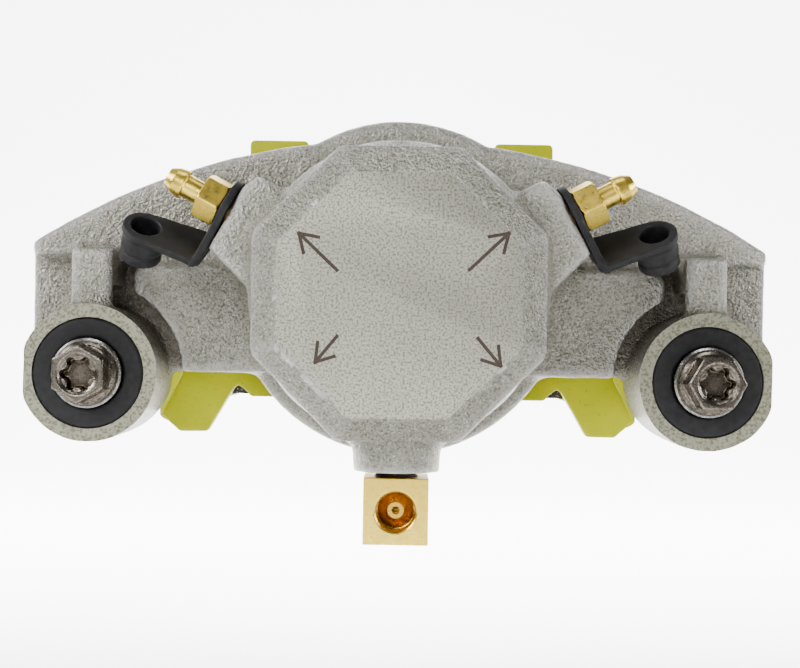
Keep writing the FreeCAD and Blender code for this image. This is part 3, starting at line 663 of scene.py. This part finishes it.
def barrel_cutters():
    """The piston's bore, the boot's seat and the clear path under the bridge."""
    bore_r = PISTON_R + BORE_CLEARANCE
    return [
        drum(bore_r, PISTON_LOW.y - 3 * MM, BARREL_REAR_Y + 2 * MM, 0, PISTON_Z),
        drum(SEAL_SEAT_R, -BARREL_REAR_Y, BARREL_REAR_Y + 1 * MM, 0, PISTON_Z),
        drum(PISTON_PATH_R, BARREL_REAR_Y, PISTON_PATH_Y, 0, PISTON_Z),
    ]


def bridge_cutters():
    """The seat of the outer pad under the bridge and its two slots."""
    cutters = [drum(UNDER_BRIDGE_R, FINGER_Y - CUT_DEPTH, FINGER_Y, 0, ROTOR_Z)]
    low_z, high_z = TAB_SLOT_Z
    for low_x, high_x in (TAB_X, (-TAB_X[1], -TAB_X[0])):
        low = (low_x - TAB_GAP, FINGER_Y - TAB_SLOT_Y, low_z)
        cutters.append(block(low, (high_x + TAB_GAP, FINGER_Y, high_z)))
    return cutters


def inlet_cutters():
    """The milled end and the tapped hole of the inlet's boss."""
    inlet, up = (0, INLET_Y, INLET_BOSS_Z), (0, 0, 1)
    return [
        rod("milled", 2 * INLET_BOSS_R, -4 * MM, 0, inlet, up),
        rod("tapped", INLET_HOLE_R, -1 * MM, INLET_HOLE_DEPTH, inlet, up),
    ]


def bleed_cutters(side):
    """The spot face and the tapped hole of a bleed screw."""
    joint = JOINTS["bleed_screw_%s_turn" % side]
    place = (joint["pos_m"], joint["axis"])
    return [
        rod("spotface", SPOTFACE_R, 0, SPOTFACE_DEPTH, *place),
        rod("tapped", BLEED_HOLE_R, -BLEED_HOLE_DEPTH, 1 * MM, *place),
    ]


def bore_cutters():
    """Everything that is bored or milled after casting."""
    cutters = [block((-CUT_REACH, 2 * FACE_Y, -CUT_REACH), (CUT_REACH, FACE_Y, 2 * CUT_REACH))]
    for x in ear_places():
        cutters += ear_cutters(x)
    cutters += barrel_cutters()
    cutters += bridge_cutters()
    cutters += inlet_cutters()
    for side in SIDES:
        cutters += bleed_cutters(side)
    return cutters


def arrow_cutters():
    """Shallow strokes for the four plain arrows on the machined face."""
    cutters = []
    for tail, tip in ARROWS:
        tail, tip = Vector(tail) * MM, Vector(tip) * MM
        heading = math.atan2(tip.y - tail.y, tip.x - tail.x)
        half = ARROW_STROKE / 2
        shaft = (0, (tip - tail).length)
        for turn, length in (shaft, (ARROW_SPREAD, ARROW_BARB), (-ARROW_SPREAD, ARROW_BARB)):
            pose = Matrix.Rotation(-(heading + turn), 3, "Y")
            stroke = block((-length, -1 * MM, -half), (half, ETCH_DEPTH, half), pose)
            stroke.data.transform(Matrix.Translation((tip.x, FACE_Y, tip.y)))
            cutters.append(stroke)
    return cutters


def in_arrow_field(place):
    """Whether a point lies in the part of the machined face that holds the arrows."""
    across, up = abs(place.x), abs(place.z - PISTON_Z)
    return max(across, up) < ARROW_FIELD and across + up < ARROW_FIELD_CORNER


def surface_of(place, normal):
    """The number of the material that a face of the casting has."""
    near = 0.02 * MM
    cast, machined, ear_face, etched = range(4)
    from_ear = math.hypot(abs(place.x) - BOLT_X, place.z)
    if place.y < FACE_Y + near:
        return machined
    if abs(place.y - FACE_Y - ETCH_DEPTH) < near / 4 and in_arrow_field(place):
        return etched
    if min(abs(place.y - EAR_FRONT_Y), abs(place.y - EAR_REAR_Y)) < near and abs(normal.y) > 0.99:
        return ear_face
    if EAR_FRONT_Y < place.y < EAR_REAR_Y and from_ear < BUSHING_R + 0.1 * MM:
        return machined
    return cast


def mark_machined(body):
    """Gives the milled faces and the etched strokes their own materials."""
    body.data.materials.clear()
    for material in (CAST, MACHINED, EAR_FACE, ETCHED):
        body.data.materials.append(material)
    for face in body.data.polygons:
        face.material_index = surface_of(face.center, face.normal)


def casting():
    """The caliper's one casting, rebuilt with cast edges and texture and then machined."""
    body = add_stock(cad_copy("caliper_housing", "casting"))
    remeshed(body, CAST_VOXEL, CAST_SMOOTHING)
    filleted(body)
    roughen(body, CAST_LUMPS)
    keep_inside(body, HOUSING_LOW - Vector((0, 2 * MACHINING_STOCK, 0)), HOUSING_HIGH)
    for cutter in bore_cutters() + arrow_cutters():
        cut(body, cutter)
    mark_machined(body)
    return finish_piece(body, "caliper", "casting", "caliper_housing", keep_below=40)


# the other pieces

def add_thread(piece, origin, axis, radius, pitch, depth, start, end):
    """Cuts a thread into a smooth shank, or into a bore if the depth is negative."""
    axis = np.array(Vector(axis).normalized())
    side, up = (np.array(v) for v in axis_frame(axis))
    points = vertex_array(piece.data)
    away = points - np.array(origin)
    along = away @ axis
    across = away - along[:, None] * axis
    reach = np.linalg.norm(across, axis=1)
    angle = np.arctan2(across @ up, across @ side) / math.tau
    tooth = np.abs(((along / pitch + angle) % 1.0) - 0.5) * 2
    inside = (along > start) & (along < end) & (np.abs(reach - radius) < THREAD_TOLERANCE)
    shift = np.where(inside, -depth * np.clip(tooth * 1.3 - 0.15, 0, 1), 0.0)
    outward = across / np.maximum(reach, 1e-9)[:, None]
    piece.data.vertices.foreach_set("co", (points + outward * shift[:, None]).ravel())
    piece.data.update()
    return piece


def guide_bolt(side, x):
    """A flanged bolt with forged edges and a threaded end."""
    node = "guide_bolt_" + side
    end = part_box(node)[1].y - BOLT_THREAD_STOP
    bolt = remeshed(cad_copy(node, "bolt_" + side), BOLT_VOXEL, 3)
    add_thread(bolt, (x, 0, 0), (0, 1, 0), BOLT_THREAD_R, BOLT_PITCH, THREAD_DEPTH,
               BOLT_THREAD_START, end)
    bolt.data.materials.append(STEEL)
    return finish_piece(bolt, "guide_pins", "steel", node, keep_below=50)


def guide_sleeve(side, x):
    """A turned sleeve with its ends chamfered."""
    node = "guide_sleeve_" + side
    low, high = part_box(node)
    outer, edge = (high.x - low.x) / 2, SLEEVE_CHAMFER
    inner = SLEEVE_BORE_R
    length = high.y - low.y
    profile = [(inner, edge), (inner + edge, 0), (outer - edge, 0), (outer, edge),
               (outer, length - edge), (outer - edge, length),
               (inner + edge, length), (inner, length - edge)]
    sleeve = lathe("sleeve_" + side, profile, (x, low.y, 0), (0, 1, 0), 128)
    sleeve.data.materials.append(SLEEVE_STEEL)
    return finish_piece(sleeve, "guide_pins", "steel", node)


def arc(radius_at, along_at, radius, first, last, steps=6):
    """Points (radius, distance) round a quarter circle, for a lathe's profile."""
    turns = [math.radians(first + (last - first) * i / steps) for i in range(steps + 1)]
    return [(radius_at + radius * math.cos(a), along_at + radius * math.sin(a)) for a in turns]


def bushing(side, x, end, outward):
    """A moulded bushing with rounded lips and grease grooves in its bore."""
    node = "%s_bushing_%s" % (end, side)
    low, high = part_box(node)
    outer, inner = (high.x - low.x) / 2, BUSHING_BORE_R
    length = high.y - low.y
    lip = BUSHING_LIP
    profile = arc(inner + lip, lip, lip, 180, 270)
    profile += arc(outer - lip, lip, lip, -90, 0)
    profile += [(outer, length - lip), (outer - lip, length), (inner + lip, length), (inner, length - lip)]
    for i in (3, 2, 1):
        middle = length * i / 4
        floor_r = inner + GROOVE_DEPTH
        profile += [(inner, middle + GROOVE_TOP), (floor_r, middle + GROOVE_FLOOR),
                    (floor_r, middle - GROOVE_FLOOR), (inner, middle - GROOVE_TOP)]
    start = low.y if outward < 0 else high.y
    ring = lathe("%s_rubber_%s" % (end, side), profile, (x, start, 0), (0, -outward, 0), 128)
    ring.data.materials.append(RUBBER)
    return finish_piece(ring, "caliper", "rubber", node)


def bleed_screw(side):
    """A brass bleed screw with milled flats, a barb and a thread below the hex."""
    node = "bleed_screw_" + side
    joint = JOINTS["bleed_screw_%s_turn" % side]
    screw = remeshed(cad_copy(node, "bleeder_" + side), FITTING_VOXEL, 3)
    add_thread(screw, joint["pos_m"], joint["axis"], BLEED_SHANK_R, BOLT_PITCH, BLEED_THREAD_DEPTH,
               *BLEED_THREAD)
    screw.data.materials.append(BRASS)
    return finish_piece(screw, joint["child"], "brass", node, keep_below=50)


def bleed_cap(side):
    """A moulded dust cap with its strap, all edges soft."""
    node = "bleed_cap_" + side
    joint = JOINTS["bleed_cap_%s_swing" % side]
    cap = remeshed(cad_copy(node, "cap_" + side), CAP_VOXEL, CAP_SMOOTHING)
    cap.data.materials.append(RUBBER)
    return finish_piece(cap, joint["child"], "rubber", node, keep_below=60)


def inlet_fitting():
    """The brass block with its threaded port and the stud's thread full of sealant."""
    low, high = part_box("inlet_fitting")
    middle = (low + high) / 2
    block_piece = remeshed(cad_copy("inlet_fitting", "inlet_block"), FITTING_VOXEL, 3)
    add_thread(block_piece, (0, middle.y, 0), (0, 0, 1), STUD_R, INLET_PITCH, THREAD_DEPTH,
               BLOCK_TOP_Z + 0.3 * MM, high.z)
    port_z = low.z + PORT_HEIGHT
    add_thread(block_piece, (0, low.y, port_z), (0, 1, 0), PORT_R, INLET_PITCH, -PORT_THREAD_DEPTH,
               PORT_THREAD_START, PORT_THREAD_END)
    for material in (BRASS, SEALANT, PORT_BRASS):
        block_piece.data.materials.append(material)
    half = (high.x - low.x) / 2
    for face in block_piece.data.polygons:
        place = face.center
        from_port = math.hypot(place.x, place.z - port_z)
        if place.z > BLOCK_TOP_Z + 0.05 * MM and math.hypot(place.x, place.y - middle.y) < half * 0.75:
            face.material_index = 1
        elif from_port < PORT_R + 0.6 * MM and place.y > low.y + 0.2 * MM and place.y < low.y + half:
            face.material_index = 2
    return finish_piece(block_piece, "caliper", "brass", "inlet_fitting", keep_below=45)


def pad_plate(node, body):
    """A stamped backing plate with rounded edges."""
    plate = remeshed(cad_copy(node, node + "_stamped"), PLATE_VOXEL, 4)
    plate.data.materials.append(PLATE)
    return finish_piece(plate, body, "pad_plate", node)


def pad_lining(node, body):
    """A pressed friction block with a rough surface."""
    lining = remeshed(cad_copy(node, node + "_pressed"), PLATE_VOXEL, 2)
    roughen(lining, LINING_LUMPS, LINING_SEED)
    lining.data.materials.append(FRICTION)
    return finish_piece(lining, body, "friction", node)


def boot_profile(outer, inner, length):
    """The boot's bead, pleated wall and lip, as (radius, distance) points all the way round."""
    edge = outer - 0.05 * MM
    foot = [(BOOT_FOLD_R - 0.8 * MM, 0), (outer - 0.2 * MM, 0), (edge, 0.2 * MM), (edge, 1.3 * MM),
            (outer - 0.2 * MM, 1.4 * MM)]
    outside = [(BOOT_FOLD_R + dip * MM, at * MM) for at, dip in BOOT_PLEATS]
    inside = [(BOOT_FOLD_R + dip * MM - BOOT_WALL, at * MM) for at, dip in reversed(BOOT_PLEATS)]
    top, tip = length - 0.02 * MM, inner + 0.1 * MM
    lip = [(BOOT_FOLD_R, length - 0.2 * MM), (BOOT_FOLD_R - 0.2 * MM, top), (inner + 0.3 * MM, top),
           (tip, length - 0.2 * MM), (tip, length - 1.2 * MM)]
    return foot + outside + lip + inside


def dust_boot():
    """The thin pleated boot, turned from its bead in the housing to its lip on the piston."""
    low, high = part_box("dust_boot")
    profile = boot_profile((high.x - low.x) / 2, PISTON_R - 1.0 * MM, high.y - low.y)
    boot = lathe("boot", profile, (0, low.y, PISTON_Z), (0, 1, 0), 192)
    boot.data.materials.append(RUBBER)
    shade(boot)
    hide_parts("dust_boot")
    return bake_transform(boot)


def paint_node(node, material):
    """Gives a CAD node that is shown as it is its material."""
    mesh = frame["nodes"][node].data
    mesh.materials.clear()
    mesh.materials.append(material)


def pieces():
    """Every piece of the caliper."""
    casting()
    for side, x in zip(SIDES, ear_places()):
        guide_bolt(side, x)
        guide_sleeve(side, x)
        bushing(side, x, "front", -1)
        bushing(side, x, "rear", 1)
        bleed_screw(side)
        bleed_cap(side)
    inlet_fitting()
    pad_plate("inner_pad_plate", "piston")
    pad_plate("outer_pad_plate", "caliper")
    pad_lining("inner_pad_lining", "piston")
    pad_lining("outer_pad_lining", "caliper")
    dust_boot()
    paint_node("piston", PISTON_STEEL)
    paint_node("piston_seal", RUBBER)
    paint_node("boot_retaining_ring", SLEEVE_STEEL)
    paint_node("inner_pad_spring", SPRING_STEEL)
    paint_node("flare_seat", PORT_BRASS)


# studio

def flat_material(name, color, roughness):
    """A plain matt surface for the floor."""
    shader = Shader(name, color, 0.0, roughness)
    tone = shader.noise(0.4, 2.0)
    shader.color(shader.blend(tone, color, tuple(0.985 * c for c in color)))
    return shader.material


def floor():
    """A pale floor that curves up into a backdrop far behind the caliper."""
    rows = [(-FLOOR_SIZE, 0.0), (FLOOR_SIZE * 0.5, 0.0)]
    for i in range(1, 25):
        turn = math.radians(90 * i / 24)
        rows.append((FLOOR_SIZE * 0.5 + SWEEP_R * math.sin(turn), SWEEP_R * (1 - math.cos(turn))))
    rows.append((rows[-1][0], SWEEP_R + FLOOR_SIZE))
    points, faces = [], []
    for y, z in rows:
        points += [(-FLOOR_SIZE * 2, y, z + FLOOR_Z), (FLOOR_SIZE * 2, y, z + FLOOR_Z)]
    for i in range(len(rows) - 1):
        faces.append((2 * i, 2 * i + 1, 2 * i + 3, 2 * i + 2))
    sweep = from_points("floor", points, faces)
    sweep.data.materials.append(flat_material("pale_floor", (0.86, 0.86, 0.86), 0.7))
    shade(sweep)


def softbox(name, place, target, size, power, color=(1, 1, 1)):
    """A rectangular light aimed at a point."""
    data = bpy.data.lights.new(name, "AREA")
    data.shape = "RECTANGLE"
    data.size, data.size_y = size
    data.energy = power
    data.color = color
    light = bpy.data.objects.new(name, data)
    bpy.context.scene.collection.objects.link(light)
    light.location = place
    light.rotation_mode = "QUATERNION"
    light.rotation_quaternion = (Vector(target) - Vector(place)).to_track_quat("-Z", "Y")
    return light


def lights():
    """Large softboxes on both sides and above, and a lit backdrop."""
    target = (0, 0, 0.01)
    softbox("left_box", (-0.58, -0.16, 0.36), target, (0.2, 0.3), 5.6)
    softbox("right_box", (0.66, -0.16, 0.16), target, (0.15, 0.3), 3.0)
    softbox("top_box", (0.0, -0.12, 0.75), target, (0.4, 0.15), 1.4)
    low = softbox("low_box", (0.0, -0.20, -0.11), target, (0.4, 0.12), 0.45)
    low.visible_camera = False
    softbox("front_box", (-0.22, -0.85, 0.26), target, (0.32, 0.22), 3.0)
    softbox("backdrop_light", (0.0, 0.32, 0.85), (0, 2.5, 0.25), (3.0, 1.1), 460.0)
    world = bpy.data.worlds.new("studio")
    world.use_nodes = True
    world.node_tree.nodes["Background"].inputs["Color"].default_value = (1, 1, 1, 1)
    world.node_tree.nodes["Background"].inputs["Strength"].default_value = WORLD_LIGHT
    bpy.context.scene.world = world


def camera():
    """Looks straight onto the inboard face, rolled very slightly."""
    data = bpy.data.cameras.new("camera")
    data.lens = CAMERA_LENS
    data.sensor_width = 36.0
    eye = bpy.data.objects.new("camera", data)
    bpy.context.scene.collection.objects.link(eye)
    eye.location = CAMERA_PLACE
    level = Matrix.Rotation(math.pi / 2, 3, "X")
    eye.rotation_euler = (Matrix.Rotation(-CAMERA_ROLL, 3, "Y") @ level).to_euler()
    bpy.context.scene.camera = eye


pieces()
floor()
lights()
camera()
